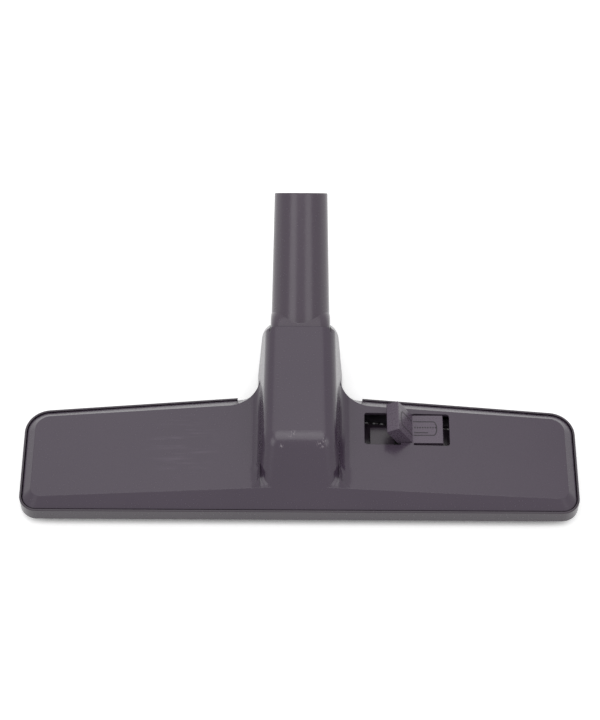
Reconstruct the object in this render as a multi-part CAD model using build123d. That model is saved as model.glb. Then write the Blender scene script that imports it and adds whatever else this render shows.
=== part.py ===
from build123d import *
import os
from math import atan, cos, degrees, radians, sin, tan

# Vacuum floor head with a tilting neck and a rocker pedal that raises and lowers two brush strips.
# Lengths are in millimetres. +X runs to the right, +Y to the rear and +Z up. The head stands on its
# bristle tips and two small wheels. While it is modelled, Y starts at the front edge of the base.

# Plan of the head
head_width = 380.0
wing_depth = 93.0
wing_sweep = 13.7
front_corner_radius = 12.0
rear_corner_radius = 18.0
neck_half_width = 29.5
inner_corner_radius = 13.0
small_corner_radius = 0.8

# Heights above the floor
glide_height = 5.0
glide_thickness = 1.0
base_floor = 2.4
base_wall = 1.4
parting_height = 18.5
base_edge_chamfer = 1.8
lip_edge_chamfer = 0.4
lip_half_gap = 43.5

# Cover
cover_wall = 2.4
lip_gap = 0.6
cover_seat = 0.5
skirt_depth = 3.0
chamfer_angle = 45.0
panel_height = 29.2
panel_drop = 5.4
hood_draft = 8.0
hood_toe = 1.0
crease_height = 53.0
crease_radius = 18.0
shoulder_radius = 11.0
hood_end_radius = 12.0
hood_end_half_width = 25.8
hood_end_taper = 0.1
hood_end_margin = 0.3
hood_foot_radius = 8.0
foot_flats = 8
foot_sink = 0.06
foot_set_back = 0.15
lap_clearance = 0.4

# Neck
pivot_y = 127.5
pivot_height = 38.0
neck_angle = 38.5
knuckle_radius = 24.0
knuckle_half_width = 20.6
knuckle_wall = 2.4
knuckle_gap = 0.8
knuckle_edge_radius = 8.0
lip_angle = 104.2
tube_length = 102.6
tube_root_diameter = 41.0
tube_mouth_diameter = 36.8
socket_diameter = 32.0
socket_depth = 42.0
air_bore_diameter = 30.0
mouth_edge_chamfer = 0.6
tilt_forward = 10.0
tilt_back = 28.0
trunnion_radius = 4.5
trunnion_length = 2.8
bearing_clearance = 0.08
side_clearance = 0.4
bearing_post_half_depth = 8.0
neck_rear_margin = 15.0
knuckle_overlap_angle = 6.0
knuckle_window_end = 304.0

# Rocker pedal
pedal_x = 73.6
pedal_front = 50.5
pedal_width = 22.3
pedal_arm = 21.0
pedal_thickness = 9.2
pedal_shell = 2.0
pedal_half_swing = 30.0
pedal_apex = 7.8
pedal_below_panel = 0.5
pedal_edge_radius = 0.6
hub_radius = 4.2
pin_radius = 2.0
pin_clearance = 0.05
crank_radius = 6.0
crank_bar_radius = 1.6
crank_lobe_radius = 2.8
crank_clearance = 0.3
pedal_gap = 0.3
lug_thickness = 2.0
lug_half_width = 4.5
window_half_length = 29.2
window_front_gap = 2.3
window_rear_gap = 0.8
window_corner_radius = 2.0
pedal_stop_gap = 0.3

# Brush frame and bristles
bar_thickness = 3.0
bar_lift = 0.4
brush_end_margin = 24.0
brush_bar_width = 5.8
front_bar_y = 10.4
end_bar_width = 8.0
slot_clearance = 0.8
guide_post_radius = 2.2
guide_clearance = 0.4
guide_inset = 14.0
hook_thickness = 2.4
hook_width = 4.0
arm_width = 6.0
tuft_pitch = 5.2
tuft_radius = 1.9
strip_thickness = 1.2
tuft_sides = 6

# Suction mouth, duct and lint strips
mouth_front = 27.0
mouth_width = 11.5
mouth_end_margin = 64.0
mouth_corner_radius = 3.8
duct_wall = 1.6
duct_channel_height = 15.5
tunnel_half_width = 20.2
tunnel_floor = 18.4
tunnel_end_gap = 18.0
duct_clearance = 0.8
tunnel_edge_radius = 6.0
tunnel_inner_radius = 3.0
glide_end_margin = 18.0
glide_front = 19.0
glide_rear = 65.5
glide_corner_radius = 5.0
lint_end_margin = 14.0
lint_width = 5.0
lint_thickness = 1.2
lint_inner_x = 28.0
lint_offset = 4.2

# Wheels and screws
wheel_radius = 8.0
wheel_width = 9.0
wheel_x = 16.2
wheel_y = 100.5
wheel_clearance = 0.6
wheel_edge_chamfer = 0.8
axle_radius = 1.5
axle_clearance = 0.02
well_wall = 1.6
boss_radius = 4.0
screw_radius = 1.6
screw_head_radius = 3.2
screw_head_height = 1.8
screw_length = 12.0
screw_clearance = 0.02
boss_split_height = 14.0
outer_screw_margin = 13.0
outer_screw_y = 43.0
middle_screw = (112.0, 52.0)
inner_screw = (36.0, 56.0)
glide_screw_radius = 1.2
glide_screw_head_radius = 2.6
glide_screw_head_height = 0.9
glide_screw_inset = 22.0
glide_screw_rows = (23.0, 61.5)

# Levels and places worked out from the sizes above
base_bottom = glide_height + glide_thickness
floor_top = base_bottom + base_floor
cover_inset = base_wall + lip_gap
cover_base = parting_height - cover_seat
chamfer_slope = tan(radians(chamfer_angle))
loft_top = panel_height + panel_drop
base_neck_half_width = neck_half_width - cover_wall - lap_clearance
neck_back = pivot_y + neck_rear_margin
brush_travel = 2 * crank_radius * sin(radians(pedal_half_swing))
bar_bottom = floor_top + bar_lift
bar_top = bar_bottom + bar_thickness
pedal_rear = pedal_front + pedal_width
rear_lug_back = pedal_rear + pedal_gap + lug_thickness
wing_slope = wing_sweep / (head_width / 2 - neck_half_width)
rear_bar_y = rear_lug_back + pedal_gap + wing_slope * (pedal_x + lug_half_width)
panel_ridge = neck_half_width / 2
panel_run = head_width / 2 - cover_inset - panel_ridge
panel_slope = panel_drop / panel_run
swing_cos = cos(radians(pedal_half_swing))
swing_sin = sin(radians(pedal_half_swing))


def panel_top(x):
    return panel_height - panel_slope * max(abs(x) - panel_ridge, 0.0)


def hood_half_width(z):
    return neck_half_width - (z - cover_base) * tan(radians(hood_draft))


bearing_post_face = hood_half_width(pivot_height) - cover_wall - lap_clearance
pedal_top = panel_top(pedal_x + pedal_arm) - pedal_below_panel
pedal_height = pedal_top - pedal_apex * swing_cos
tube_reach = tube_length * cos(radians(neck_angle))
rim_drop = (tube_mouth_diameter / 2 - mouth_edge_chamfer) * sin(radians(neck_angle))
middle_y = (pivot_y + tube_reach + rim_drop) / 2
brush_half_length = head_width / 2 - brush_end_margin
mouth_half_length = head_width / 2 - mouth_end_margin
glide_half_length = head_width / 2 - glide_end_margin
lint_length = mouth_half_length - lint_inner_x - lint_end_margin
outer_screw = (head_width / 2 - outer_screw_margin, outer_screw_y)
screw_places = [(side * x, y) for side in (-1, 1) for x, y in (outer_screw, middle_screw, inner_screw)]
glide_screw_x = glide_half_length - glide_screw_inset
glide_screw_places = [(x, y) for x in (-glide_screw_x, 0.0, glide_screw_x) for y in glide_screw_rows]
lip_reach = (knuckle_radius + knuckle_gap + cover_wall) * cos(radians(lip_angle - neck_angle))


# Small builders for blocks and prisms
def block(x0, x1, y0, y1, z0, z1):
    return Pos(x0, y0, z0) * Box(x1 - x0, y1 - y0, z1 - z0, align=(Align.MIN, Align.MIN, Align.MIN))


def side_face(points, radius=0.0):
    line = FilletPolyline(*points, radius=radius, close=True)
    return make_face(line)


def prism_along_x(face, x0, x1):
    return extrude(Plane.YZ.offset(x0) * face, x1 - x0)


def prism_along_y(face, y0, y1):
    return extrude(Plane.XZ.offset(-y1) * face, y1 - y0)


def rod_along_x(radius, x0, x1, y, z):
    return Pos((x0 + x1) / 2, y, z) * Rot(0, 90, 0) * Cylinder(radius, x1 - x0)


def rod_along_y(radius, x, y0, y1, z):
    return Pos(x, (y0 + y1) / 2, z) * Rot(90, 0, 0) * Cylinder(radius, y1 - y0)


def rod_up(radius, x, y, z0, z1):
    return Pos(x, y, (z0 + z1) / 2) * Cylinder(radius, z1 - z0)


def ray(angle, length):
    return (pivot_y + length * cos(radians(angle)), pivot_height + length * sin(radians(angle)))


def slot_plate(half_length, y0, y1, z0, z1, radius):
    face = RectangleRounded(2 * half_length, y1 - y0, radius)
    return extrude(Pos(0, (y0 + y1) / 2, z0) * face, z1 - z0)


# Outline seen from above: two swept wings, and the neck between them
def plan_face(inset, neck_half, neck_end, corner_radius):
    half = head_width / 2 - inset
    rear = wing_depth - inset
    points = [
        (-half, inset),
        (half, inset),
        (half, rear - wing_sweep),
        (neck_half, rear),
        (neck_half, neck_end),
        (-neck_half, neck_end),
        (-neck_half, rear),
        (-half, rear - wing_sweep),
    ]
    front = max(front_corner_radius - inset, small_corner_radius)
    outer = max(rear_corner_radius - inset, small_corner_radius)
    radii = [front, front, outer, corner_radius, 0, 0, corner_radius, outer]
    return make_face(FilletPolyline(*points, radius=radii, close=True))


# Wings of the cover: chamfered all round, with the neck's walls drafted as the hood's
def wing_loft(inset, z0, z1, wall):
    grow = (z1 - z0) / chamfer_slope
    lower = plan_face(inset, hood_half_width(z0) - wall, pivot_y, inner_corner_radius + wall)
    upper = plan_face(inset + grow, hood_half_width(z1) - wall, pivot_y, inner_corner_radius + wall + grow)
    return loft([Pos(0, 0, z0) * lower, Pos(0, 0, z1) * upper], ruled=True)


# The same with flat panels that fall to the outer ends
def wing_block(inset, z0, z1, wall):
    half = head_width / 2
    edge = panel_top(half) - wall
    middle = panel_height - wall
    above = [
        (-half, edge),
        (-panel_ridge, middle),
        (panel_ridge, middle),
        (half, edge),
        (half, crease_height),
        (-half, crease_height),
    ]
    return wing_loft(inset, z0, z1, wall) - prism_along_y(make_face(Polyline(*above, close=True)), 0, neck_back)


# Hollow strips of short flats where the hood's walls stand on the panels
def hood_feet():
    lean = hood_draft
    fall = degrees(atan(panel_slope))
    wall_x = hood_half_width(panel_top(neck_half_width))
    level = panel_top(wall_x)
    centre_x = wall_x + hood_foot_radius * (1 - sin(radians(lean))) / cos(radians(lean))
    centre_z = panel_top(centre_x) + hood_foot_radius / cos(radians(fall))
    reach = hood_foot_radius + foot_sink
    turn = (90 - lean + fall) / foot_flats
    flats = []
    for i in range(foot_flats + 1):
        angle = radians(180 + lean + i * turn)
        size = reach if i in (0, foot_flats) else hood_foot_radius
        flats.append((centre_x + size * cos(angle), centre_z + size * sin(angle)))
    inside = (wall_x - cover_wall / 2, level - cover_wall / 2)
    corner = [(inside[0], flats[0][1])] + flats + [(flats[-1][0], inside[1]), inside]
    strip = prism_along_y(make_face(Polyline(*corner, close=True)), 0, wing_depth)
    strips = strip + mirror(strip, Plane.YZ)
    return strips & wing_loft(cover_inset + foot_set_back, cover_base, level + 2 * hood_foot_radius, 0.0)


# Side view of the hood, drawn smaller by the wall for its hollow
def hood_profile(wall, floor):
    front = cover_inset + wall / sin(radians(chamfer_angle))
    crease = crease_height - wall
    lip = ray(lip_angle, knuckle_radius + knuckle_gap + cover_wall - wall)
    back = neck_back - wall
    along_y = cos(radians(neck_angle))
    along_z = sin(radians(neck_angle))
    reach = (lip[0] - pivot_y) * along_y + (lip[1] - pivot_height) * along_z
    toe = front - (cover_base - floor - hood_toe) / chamfer_slope
    return [
        (toe, floor + hood_toe),
        (front + (crease - cover_base) / chamfer_slope, crease),
        lip,
        (back, pivot_height + (reach - (back - pivot_y) * along_y) / along_z),
        (back, floor),
        (toe, floor),
    ]


def hood_block(wall, floor):
    profile = side_face(hood_profile(wall, floor), [0, crease_radius, 0, 0, 0, 0])
    foot = hood_half_width(floor) - wall
    height = 2 * crease_height
    top = hood_half_width(height) - wall
    walls = [(-foot, floor), (foot, floor), (top, height), (-top, height)]
    body = prism_along_x(profile, -foot, foot)
    return body & prism_along_y(make_face(Polyline(*walls, close=True)), -wing_depth, neck_back)


def on_hood_side(edge):
    box = edge.bounding_box()
    return abs(edge.center().X) > neck_half_width / 2 and box.size.X < edge.length / 2


def is_hood_top(edge):
    above = edge.bounding_box().min.Z > cover_base + 1
    return on_hood_side(edge) and above and edge.center().Y < pivot_y


def rounded_hood(wall, floor):
    body = hood_block(wall, floor)
    return fillet([edge for edge in body.edges() if is_hood_top(edge)], shoulder_radius - wall)


# What is cut away round the neck's end of the hood, so that its corners are rounded along the end plane
def neck_end_cut(inset):
    end = lip_reach + hood_end_margin - inset
    start = -neck_back / 3
    near = hood_end_half_width - inset
    far = near + (end - start) * hood_end_taper
    outline = FilletPolyline((-far, start), (-near, end), (near, end), (far, start),
                             radius=[0, hood_end_radius - inset, hood_end_radius - inset, 0], close=True)
    along = (0, -sin(radians(neck_angle)), cos(radians(neck_angle)))
    end_plane = Plane(origin=(0, pivot_y, pivot_height), x_dir=(1, 0, 0), z_dir=along)
    kept = extrude(end_plane * make_face(outline), neck_back, both=True)
    half = neck_half_width + hood_toe
    around = block(-half, half, wing_depth + inner_corner_radius, neck_back + hood_toe, 0, 2 * crease_height)
    return around - kept


# Room for the knuckle and for the tube as it swings
def knuckle_room(gap):
    half = knuckle_half_width + side_clearance
    drum = rod_along_x(knuckle_radius + gap, -half, half, pivot_y, pivot_height)
    far = 2 * tube_length
    swing = [
        (pivot_y, pivot_height),
        ray(lip_angle, far),
        (pivot_y + far, pivot_height + far),
        (pivot_y + far, pivot_height - knuckle_radius),
        (pivot_y, pivot_height - knuckle_radius),
    ]
    return drum + prism_along_x(side_face(swing, 0), -half, half)


def trunnion_holes():
    reach = bearing_post_face
    return rod_along_x(trunnion_radius + bearing_clearance, -reach, reach, pivot_y, pivot_height)


def bearing_block(side, face, z0, z1):
    inner = side * (knuckle_half_width + side_clearance)
    outer = side * face
    y0 = pivot_y - bearing_post_half_depth
    y1 = pivot_y + bearing_post_half_depth
    return block(min(inner, outer), max(inner, outer), y0, y1, z0, z1)


def pedal_lugs():
    lugs = []
    for y0 in (pedal_front - pedal_gap - lug_thickness, pedal_rear + pedal_gap):
        x0 = pedal_x - lug_half_width
        x1 = pedal_x + lug_half_width
        lugs.append(block(x0, x1, y0, y0 + lug_thickness, pedal_height, panel_height))
        lugs.append(rod_along_y(lug_half_width, pedal_x, y0, y0 + lug_thickness, pedal_height))
    return lugs


def window_cut():
    y0 = pedal_front - window_front_gap
    y1 = pedal_rear + window_rear_gap
    face = RectangleRounded(2 * window_half_length, y1 - y0, window_corner_radius)
    return extrude(Pos(pedal_x, (y0 + y1) / 2, parting_height) * face, crease_height - parting_height)


def top_cover():
    skirt_base = cover_base - skirt_depth
    skirt = plan_face(cover_inset, neck_half_width, neck_back, inner_corner_radius)
    outer = wing_block(cover_inset, cover_base, loft_top, 0.0) + rounded_hood(0.0, cover_base) + hood_feet()
    outer = outer + extrude(Pos(0, 0, skirt_base) * skirt, skirt_depth)
    outer = outer - neck_end_cut(0.0)
    inner_end = neck_end_cut(cover_wall)
    inner_inset = cover_inset + cover_wall
    inner_base = cover_base - (cover_wall / sin(radians(chamfer_angle)) - cover_wall) * chamfer_slope
    pocket = plan_face(inner_inset, hood_half_width(inner_base) - cover_wall, neck_back - cover_wall,
                       inner_corner_radius + cover_wall)
    shell = outer - (wing_block(inner_inset, inner_base, loft_top, cover_wall) - inner_end)
    shell = shell - (extrude(Pos(0, 0, skirt_base) * pocket, inner_base - skirt_base) - inner_end)
    shell = shell - (rounded_hood(cover_wall, inner_base) - inner_end)
    shell = shell - window_cut()
    inside = []
    for side in (-1, 1):
        inside.append(bearing_block(side, neck_half_width, pivot_height, 2 * crease_height) & outer)
    for x, y in screw_places:
        inside.append(rod_up(boss_radius, x, y, boss_split_height, crease_height) & outer)
    for lug in pedal_lugs():
        inside.append(lug & outer)
    for piece in inside:
        shell = shell + piece
    shell = shell - knuckle_room(knuckle_gap) - trunnion_holes()
    shell = shell - pin_rod(pin_clearance / 2)
    for x, y in screw_places:
        shell = shell - rod_up(screw_radius + screw_clearance, x, y, base_bottom, base_bottom + screw_length)
    return shell


def wheel_rod(side, grow, length):
    x = side * wheel_x
    return rod_along_x(wheel_radius + grow, x - length / 2, x + length / 2, wheel_y, wheel_radius)


# Front edges of the two brush bars: the rear one is swept like the wings
def front_line(x):
    return front_bar_y


def rear_line(x):
    return rear_bar_y - wing_slope * abs(x)


def swept_bar(line, half, width, grow, z0, z1):
    front = -grow
    rear = width + grow
    points = [
        (0, line(0) + front),
        (half, line(half) + front),
        (half, line(half) + rear),
        (0, line(0) + rear),
        (-half, line(half) + rear),
        (-half, line(half) + front),
    ]
    return extrude(Pos(0, 0, z0) * make_face(Polyline(*points, close=True)), z1 - z0)


def guide_places():
    x = brush_half_length - end_bar_width / 2
    y0 = front_bar_y + brush_bar_width + guide_inset
    y1 = rear_line(x) - guide_inset
    return [(sx * x, y) for sx in (-1, 1) for y in (y0, y1)]


# Stops that the pedal's arms come down on
def pedal_stops():
    top = pedal_top - pedal_thickness - pedal_stop_gap
    far = pedal_x + pedal_apex * swing_sin + pedal_arm
    y0 = pedal_front + pedal_shell
    y1 = pedal_front + pedal_width / 2 - hook_width / 2 - pedal_shell
    right = block(pedal_x + crank_radius + crank_lobe_radius + arm_width / 2, far, y0, y1, floor_top, top)
    left = block(2 * pedal_x - far, pedal_x - 2 * hub_radius, y0, pedal_rear - 2 * pedal_shell, floor_top, top)
    return [right, left]


# Room for the cover's skirt beside the neck, where the base's lip ends and its wall passes inside
def lip_end_room():
    lap = cover_wall + lap_clearance
    z0 = cover_base - skirt_depth - lap_clearance
    height = parting_height - z0
    inner = plan_face(cover_inset + lap, base_neck_half_width, neck_back, inner_corner_radius + lap)
    room = block(-lip_half_gap, lip_half_gap, wing_depth / 2, neck_back, z0, parting_height)
    return room - extrude(Pos(0, 0, z0) * inner, height)


def base_housing():
    lap = cover_wall + lap_clearance
    corner = inner_corner_radius + lap
    neck_end = neck_back - lap
    outline = plan_face(0.0, base_neck_half_width, neck_end, corner)
    body = extrude(Pos(0, 0, base_bottom) * outline, parting_height - base_bottom)
    under = [edge for edge in body.edges() if edge.bounding_box().max.Z < base_bottom + lip_edge_chamfer]
    body = chamfer(under, base_edge_chamfer)
    rim = [edge for edge in body.edges() if edge.bounding_box().min.Z > parting_height - lip_edge_chamfer]
    body = chamfer(rim, lip_edge_chamfer)
    pocket = plan_face(base_wall, base_neck_half_width - base_wall, neck_end - base_wall, corner + base_wall)
    body = body - extrude(Pos(0, 0, floor_top) * pocket, parting_height - floor_top)
    body = body - lip_end_room()
    for x, y in screw_places:
        body = body + rod_up(boss_radius, x, y, floor_top, boss_split_height)
    for x, y in guide_places():
        body = body + rod_up(guide_post_radius, x, y, floor_top, bar_top + brush_travel)
    for stop in pedal_stops():
        body = body + stop
    for side in (-1, 1):
        body = body + bearing_block(side, bearing_post_face, floor_top, pivot_height)
        well = wheel_rod(side, wheel_clearance + well_wall, wheel_width + 2 * (wheel_clearance + well_wall))
        roomy = block(-neck_half_width, neck_half_width, 0, neck_back, base_bottom, crease_height)
        body = body + (well & roomy)
        body = body - wheel_rod(side, wheel_clearance, wheel_width + 2 * wheel_clearance)
    body = body - neck_end_cut(lap)
    body = body - axle_rods(axle_clearance)
    body = body - knuckle_room(knuckle_gap) - trunnion_holes()
    slot_half = brush_half_length + slot_clearance
    for line in (front_line, rear_line):
        body = body - swept_bar(line, slot_half, brush_bar_width, slot_clearance, base_bottom, floor_top)
    body = body - mouth_slot(0.0, base_bottom, floor_top)
    for x, y in screw_places:
        body = body - rod_up(screw_radius + screw_clearance, x, y, base_bottom, boss_split_height)
        body = body - rod_up(screw_head_radius + screw_clearance, x, y, base_bottom, base_bottom + screw_head_height)
    for x, y in glide_screw_places:
        body = body - rod_up(glide_screw_radius + screw_clearance, x, y, base_bottom, floor_top)
    return body


def mouth_slot(grow, z0, z1):
    y0 = mouth_front - grow
    y1 = mouth_front + mouth_width + grow
    return slot_plate(mouth_half_length + grow, y0, y1, z0, z1, mouth_corner_radius)


def rounded_tunnel(profile, half, radius):
    body = prism_along_x(profile, -half, half)
    return fillet([edge for edge in body.edges() if is_hood_top(edge)], radius)


def air_duct():
    y0 = mouth_front - duct_wall
    y1 = mouth_front + mouth_width + duct_wall
    wall = cover_wall + duct_clearance
    front, crease, lip = hood_profile(wall, cover_base)[:3]
    rise = (lip[1] - crease[1]) / (lip[0] - crease[0])
    end = pivot_y - tunnel_end_gap
    points = [
        (y0, floor_top),
        (y0, front[1] + (y0 - front[0]) * chamfer_slope),
        crease,
        (end, crease[1] + (end - crease[0]) * rise),
        (end, tunnel_floor),
        (y1, tunnel_floor),
        (y1, floor_top),
    ]
    profile = side_face(points, [0, 0, crease_radius, 0, 0, 0, 0])
    hollow = offset(profile, -duct_wall, kind=Kind.INTERSECTION)
    half = mouth_half_length + duct_wall
    body = rounded_tunnel(profile, tunnel_half_width, tunnel_edge_radius)
    body = body + block(-half, half, y0, y1, floor_top, duct_channel_height)
    inner = tunnel_half_width - duct_wall
    body = body - rounded_tunnel(hollow, inner, tunnel_inner_radius)
    body = body - block(-mouth_half_length, mouth_half_length, y0 + duct_wall, y1 - duct_wall,
                        floor_top, duct_channel_height - duct_wall)
    body = body - rod_along_x(knuckle_radius + duct_clearance, -half, half, pivot_y, pivot_height)
    return body


def glide_plate():
    body = slot_plate(glide_half_length, glide_front, glide_rear, glide_height, base_bottom, glide_corner_radius)
    body = body - mouth_slot(0.0, glide_height, base_bottom)
    for x, y in glide_screw_places:
        body = body - rod_up(glide_screw_head_radius + screw_clearance, x, y, glide_height, base_bottom)
    return body


def lint_strip(side, y):
    x0 = side * lint_inner_x
    x1 = side * (lint_inner_x + lint_length)
    z0 = glide_height - lint_thickness
    return block(min(x0, x1), max(x0, x1), y - lint_width / 2, y + lint_width / 2, z0, glide_height)


# Drum with rounded ends that the neck turns on, drawn smaller by the wall for its hollow
def knuckle_drum(wall):
    half = knuckle_half_width - wall
    drum = rod_along_x(knuckle_radius - wall, -half, half, pivot_y, pivot_height)
    return fillet(drum.edges().filter_by(GeomType.CIRCLE), knuckle_edge_radius - wall)


# Neck: tapered tube on a hollow knuckle that is open towards the duct
def neck_tube():
    knuckle = knuckle_drum(0.0)
    reach = knuckle_half_width + trunnion_length
    shaft = rod_along_x(trunnion_radius, -reach, reach, pivot_y, pivot_height)
    to_axis = Pos(0, pivot_y, pivot_height) * Rot(neck_angle - 90, 0, 0)
    root = tube_root_diameter / 2
    mouth = tube_mouth_diameter / 2
    tube = to_axis * Pos(0, 0, tube_length / 2) * Cone(root, mouth, tube_length)
    body = knuckle + tube + shaft
    rim = [edge for edge in body.edges() if edge.center().Y > pivot_y + tube_reach - mouth / 2
           and edge.geom_type == GeomType.CIRCLE]
    body = chamfer(rim, mouth_edge_chamfer)
    inner = knuckle_half_width - knuckle_wall
    hollow = knuckle_drum(knuckle_wall)
    air_length = tube_length - socket_depth
    air = to_axis * Pos(0, 0, air_length / 2) * Cylinder(air_bore_diameter / 2, air_length)
    socket = to_axis * Pos(0, 0, tube_length - socket_depth / 2) * Cylinder(socket_diameter / 2, socket_depth)
    first = lip_angle + tilt_back + knuckle_overlap_angle
    last = knuckle_window_end - tilt_forward - knuckle_overlap_angle
    middle = (first + last) / 2
    mouth_cut = [
        (pivot_y, pivot_height),
        ray(first, 2 * knuckle_radius),
        ray(middle, 4 * knuckle_radius),
        ray(last, 2 * knuckle_radius),
    ]
    window = prism_along_x(side_face(mouth_cut, 0), -inner, inner)
    return body - hollow - air - socket - window


def pin_rod(grow):
    y0 = pedal_front - pedal_gap - lug_thickness
    y1 = pedal_rear + pedal_gap + lug_thickness
    return rod_along_y(pin_radius + grow, pedal_x, y0, y1, pedal_height)


# Rocker pedal: a hollow chevron, drawn at mid swing and turned until its right arm lies level
def chevron(inset):
    apex = pedal_apex - inset / swing_cos
    reach = pedal_arm - inset
    depth = pedal_thickness
    right_top = (reach * swing_cos + inset * swing_sin, pedal_apex + reach * swing_sin - inset * swing_cos)
    right_low = (right_top[0] + depth * swing_sin, right_top[1] - depth * swing_cos)
    low = (0, pedal_apex - (depth + inset) / swing_cos)
    left_top = (-right_top[0], right_top[1])
    left_low = (-right_low[0], right_low[1])
    return make_face(Polyline((0, apex), right_top, right_low, low, left_low, left_top, close=True))


def rocker_pedal():
    y0 = pedal_front
    y1 = pedal_rear
    inner0 = y0 + pedal_shell
    inner1 = y1 - pedal_shell
    body = prism_along_y(chevron(0.0), y0, y1)
    body = fillet(body.edges().filter_by(Axis.Y), pedal_edge_radius)
    body = body + rod_along_y(hub_radius, 0, y0, y1, 0)
    body = body + rod_along_y(crank_lobe_radius, crank_radius, y0, y1, 0)
    body = body - prism_along_y(chevron(pedal_shell), inner0, inner1)
    body = body - rod_along_y(hub_radius, 0, inner0, inner1, 0)
    body = body - rod_along_y(crank_lobe_radius, crank_radius, inner0, inner1, 0)
    body = body + rod_along_y(crank_bar_radius, crank_radius, inner0, inner1, 0)
    body = body - rod_along_y(pin_radius + pin_clearance, 0, y0, y1, 0)
    return Pos(pedal_x, 0, pedal_height) * Rot(0, pedal_half_swing, 0) * body


# Brush frame: two bars joined at their ends, and a hook round the pedal's crank bar
def brush_frame():
    half = brush_half_length
    body = swept_bar(front_line, half, brush_bar_width, 0.0, bar_bottom, bar_top)
    body = body + swept_bar(rear_line, half, brush_bar_width, 0.0, bar_bottom, bar_top)
    end = rear_line(half) + brush_bar_width / 2
    body = body + block(-half, end_bar_width - half, front_bar_y, end, bar_bottom, bar_top)
    body = body + block(half - end_bar_width, half, front_bar_y, end, bar_bottom, bar_top)
    bar_z = pedal_height - crank_radius * swing_sin
    above = bar_z + crank_bar_radius + crank_clearance
    below = bar_z - crank_bar_radius - crank_clearance
    arm_x = pedal_x + crank_radius + crank_lobe_radius + crank_clearance
    jaw_x = pedal_x + hub_radius
    y0 = pedal_front + (pedal_width - hook_width) / 2
    y1 = y0 + hook_width
    web_x = arm_x + hook_thickness
    arm_end = rear_line(arm_x + arm_width) + brush_bar_width / 2
    body = body + block(arm_x, arm_x + arm_width, y0, arm_end, bar_bottom, bar_top)
    body = body + block(arm_x, web_x, y0, y1, bar_bottom, above + hook_thickness)
    body = body + block(jaw_x, web_x, y0, y1, above, above + hook_thickness)
    body = body + block(jaw_x, web_x, y0, y1, bar_bottom, below)
    for x, y in guide_places():
        body = body - rod_up(guide_post_radius + guide_clearance, x, y, bar_bottom, bar_top)
    return body


def bristle_strip(line):
    middle = brush_bar_width / 2
    half = brush_half_length - tuft_pitch / 2
    z1 = bar_bottom - strip_thickness
    count = int(2 * half / tuft_pitch)
    first = -(count - 1) * tuft_pitch / 2
    tufts = Sketch()
    for i in range(count):
        x = first + i * tuft_pitch
        tufts = tufts + Pos(x, line(x) + middle) * RegularPolygon(tuft_radius, tuft_sides)
    strip = swept_bar(line, half, brush_bar_width, tuft_radius - middle, z1, bar_bottom)
    return strip + extrude(tufts, z1)


def wheel(side):
    body = wheel_rod(side, 0.0, wheel_width)
    body = chamfer(body.edges().filter_by(GeomType.CIRCLE), wheel_edge_chamfer)
    return body - rod_along_x(axle_radius + bearing_clearance, -neck_half_width, neck_half_width, wheel_y, wheel_radius)


def axle(side, grow):
    half = wheel_width / 2 + wheel_clearance + well_wall
    x = side * wheel_x
    return rod_along_x(axle_radius + grow, x - half, x + half, wheel_y, wheel_radius)


def axle_rods(grow):
    return axle(-1, grow) + axle(1, grow)


def cover_screws():
    screws = []
    for x, y in screw_places:
        head = rod_up(screw_head_radius, x, y, base_bottom, base_bottom + screw_head_height)
        screws.append(head + rod_up(screw_radius, x, y, base_bottom, base_bottom + screw_length))
    return screws


def glide_screws():
    screws = []
    for x, y in glide_screw_places:
        head = rod_up(glide_screw_head_radius, x, y, base_bottom - glide_screw_head_height, base_bottom)
        screws.append(head + rod_up(glide_screw_radius, x, y, base_bottom, base_bottom + base_floor))
    return screws


def write(name, shapes):
    moved = [Pos(0, -middle_y, 0) * shape for shape in shapes]
    solids = [solid for shape in moved for solid in shape.solids()]
    export_step(solids[0] if len(solids) == 1 else Compound(solids), os.path.join("parts", name + ".step"))
    print(name, len(solids), round(sum(solid.volume for solid in solids)))


def build():
    os.makedirs("parts", exist_ok=True)
    write("top_cover", [top_cover()])
    write("base_housing", [base_housing()])
    write("air_duct", [air_duct()])
    write("glide_plate", [glide_plate()])
    front_lint_y = mouth_front - lint_offset
    rear_lint_y = mouth_front + mouth_width + lint_offset
    write("front_left_lint_strip", [lint_strip(-1, front_lint_y)])
    write("front_right_lint_strip", [lint_strip(1, front_lint_y)])
    write("rear_left_lint_strip", [lint_strip(-1, rear_lint_y)])
    write("rear_right_lint_strip", [lint_strip(1, rear_lint_y)])
    write("neck_tube", [neck_tube()])
    write("rocker_pedal", [rocker_pedal()])
    write("pedal_pin", [pin_rod(0.0)])
    write("brush_frame", [brush_frame()])
    write("front_bristles", [bristle_strip(front_line)])
    write("rear_bristles", [bristle_strip(rear_line)])
    write("left_wheel", [wheel(-1)])
    write("right_wheel", [wheel(1)])
    write("left_wheel_axle", [axle(-1, 0.0)])
    write("right_wheel_axle", [axle(1, 0.0)])
    write("cover_screws", cover_screws())
    write("glide_screws", glide_screws())


build()
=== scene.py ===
# %% [markdown]
# This lesson dresses a vacuum floor head: a wide dark plastic head with a hood in the middle, a tilting
# wand neck behind it and a rocker pedal that lowers two rows of bristles. The solids come from the CAD
# model, already in place and in metres. They keep their shape here. Blender adds the finishes and the
# small soft or fine pieces that a solid model can't show.

# %% Load the solids
import bpy
import bmesh
from math import cos, pi, radians, sin
from mathutils import Matrix, Vector


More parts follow.
